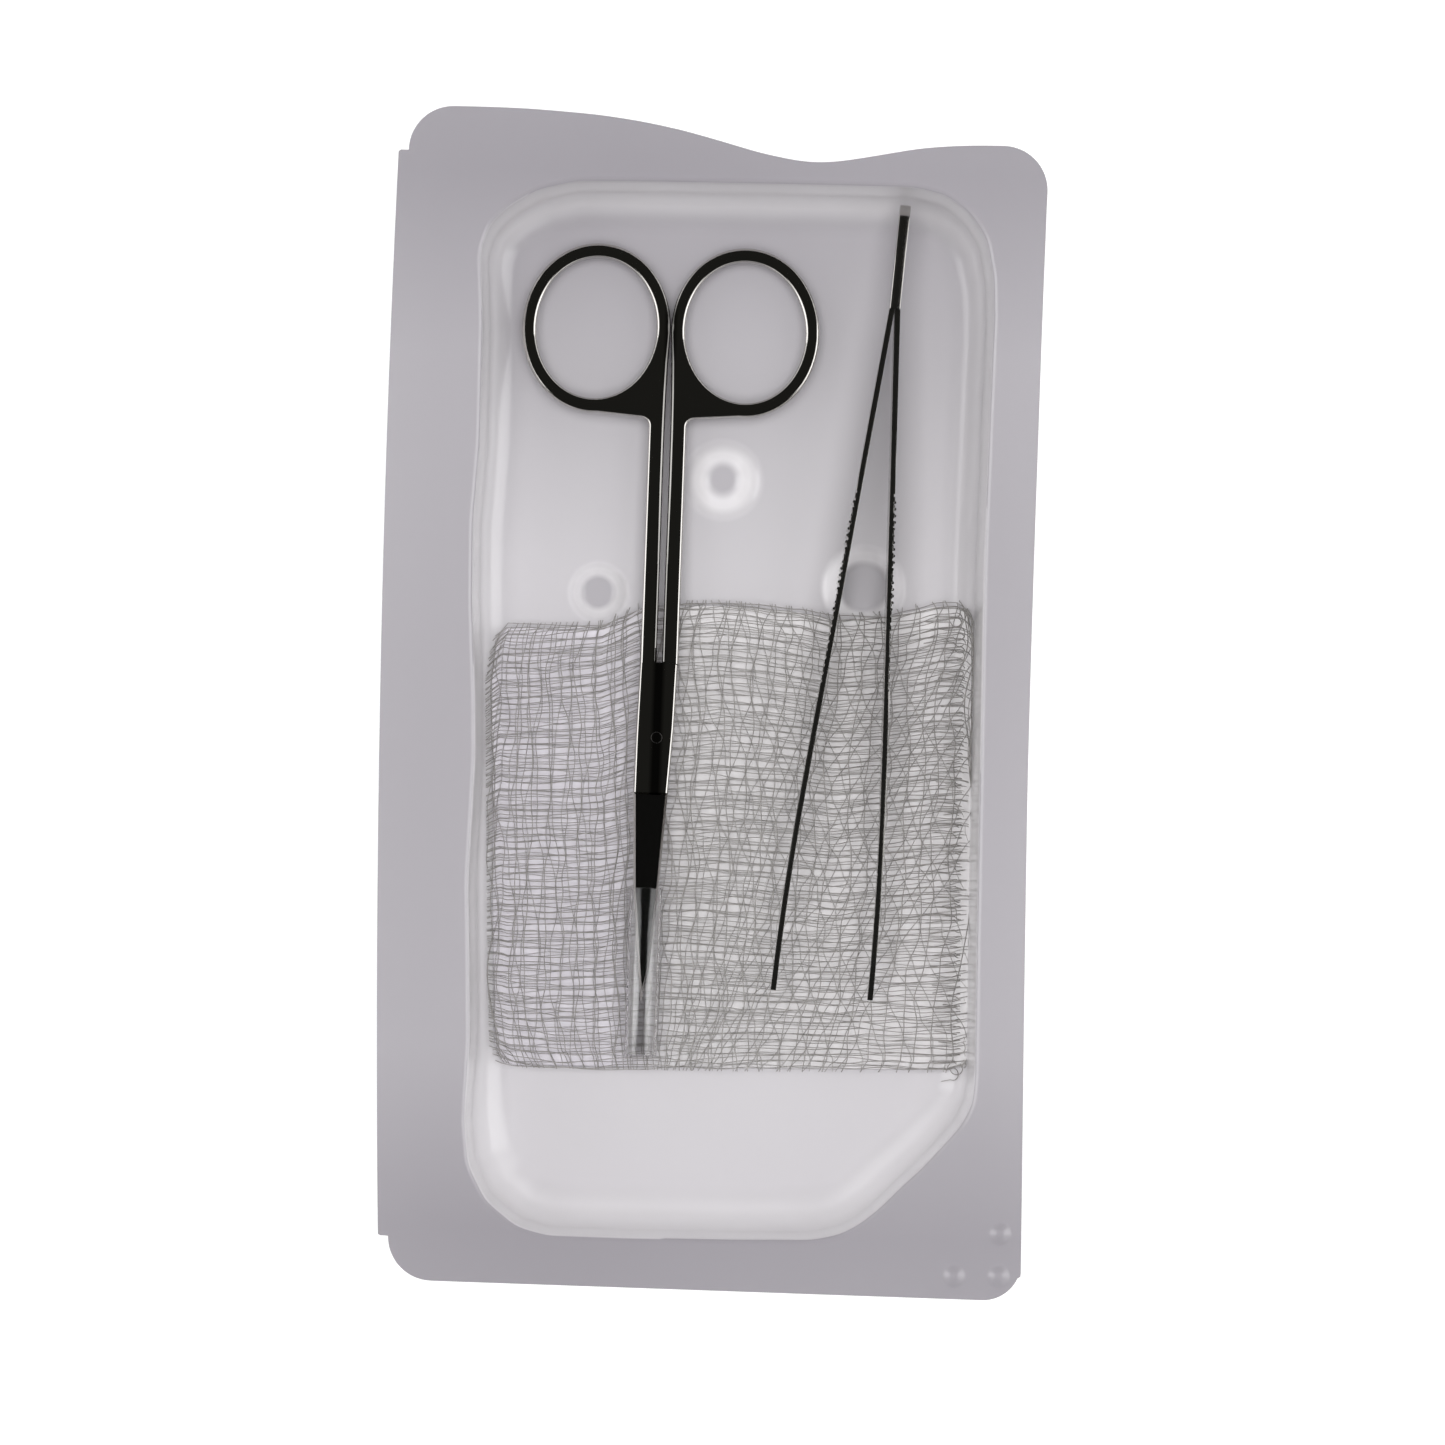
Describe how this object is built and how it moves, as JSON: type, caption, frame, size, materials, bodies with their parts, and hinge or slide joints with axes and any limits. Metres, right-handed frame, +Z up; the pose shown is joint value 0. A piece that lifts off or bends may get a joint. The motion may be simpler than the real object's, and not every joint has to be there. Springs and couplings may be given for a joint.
{
  "type": "instrument tray",
  "caption": "Clear thermoformed pack tray holding ring-handled scissors with a tip guard, thumb forceps with sprung arms and a folded gauze sponge.",
  "frame": {"origin": "centre of the tray's bounding box in plan, on the surface the well's floor rests on", "axes": "+Z up out of the open well, +Y along the tray towards the wavy end with the instruments' handles, +X to the right"},
  "size_m": [0.0976, 0.1756, 0.0165],
  "materials": {
    "tray_film": "hazy translucent film",
    "gauze": "open woven cotton",
    "scissors_steel": "mirror polished stainless steel",
    "guard_vinyl": "clear soft tube",
    "forceps_steel": "satin stainless steel"
  },
  "bodies": {
    "tray": {"tray_shell": "tray_film"},
    "gauze": {"gauze_sponge": "gauze"},
    "scissors": {"scissors_screw": "scissors_steel"},
    "scissors_upper": {"scissors_upper_half": "scissors_steel"},
    "scissors_lower": {"scissors_lower_half": "scissors_steel"},
    "guard": {"tip_guard": "guard_vinyl"},
    "forceps": {"forceps_head": "forceps_steel"},
    "forceps_left": {"forceps_left_arm": "forceps_steel"},
    "forceps_right": {"forceps_right_arm": "forceps_steel"}
  },
  "joints": [
    {"name": "gauze_lift", "type": "slide", "parent": "tray", "child": "gauze", "axis": [0, 0, 1], "range_m": [0, 0.03]},
    {"name": "scissors_lift", "type": "slide", "parent": "gauze", "child": "scissors", "axis": [0, 0, 1], "range_m": [0, 0.08]},
    {"name": "scissors_upper_open", "type": "hinge", "parent": "scissors", "child": "scissors_upper", "pos_m": [-0.0078, -0.00535, 0.00465], "axis": [0.0005, 0.0332, 0.9995], "range_deg": [0, 20]},
    {"name": "scissors_lower_open", "type": "hinge", "parent": "scissors", "child": "scissors_lower", "pos_m": [-0.0078, -0.00535, 0.00465], "axis": [0.0005, 0.0332, 0.9995], "range_deg": [-20, 0]},
    {"name": "guard_pull", "type": "slide", "parent": "scissors", "child": "guard", "axis": [-0.0154, -0.9993, 0.0332], "range_m": [0, 0.14]},
    {"name": "forceps_lift", "type": "slide", "parent": "gauze", "child": "forceps", "axis": [0, 0, 1], "range_m": [0, 0.06]},
    {"name": "forceps_right_squeeze", "type": "hinge", "parent": "forceps", "child": "forceps_right", "pos_m": [0.02712, 0.05943, 0.00664], "axis": [0.0018, 0.0209, 0.9998], "range_deg": [-3.6, 0], "stiffness_Nm_per_rad": 0.5},
    {"name": "forceps_left_squeeze", "type": "hinge", "parent": "forceps", "child": "forceps_left", "pos_m": [0.02629, 0.0595, 0.00664], "axis": [0.0018, 0.0209, 0.9998], "range_deg": [0, 3.6], "stiffness_Nm_per_rad": 0.5}
  ],
  "couplings": [
    {"joint": "scissors_upper_open", "follows": "scissors_lift", "rad_per_m": 4.3629},
    {"joint": "scissors_lower_open", "follows": "scissors_lift", "rad_per_m": -4.3629},
    {"joint": "guard_pull", "follows": "scissors_lift", "ratio": 1.7498},
    {"joint": "forceps_left_squeeze", "follows": "forceps_right_squeeze", "ratio": -1}
  ]
}
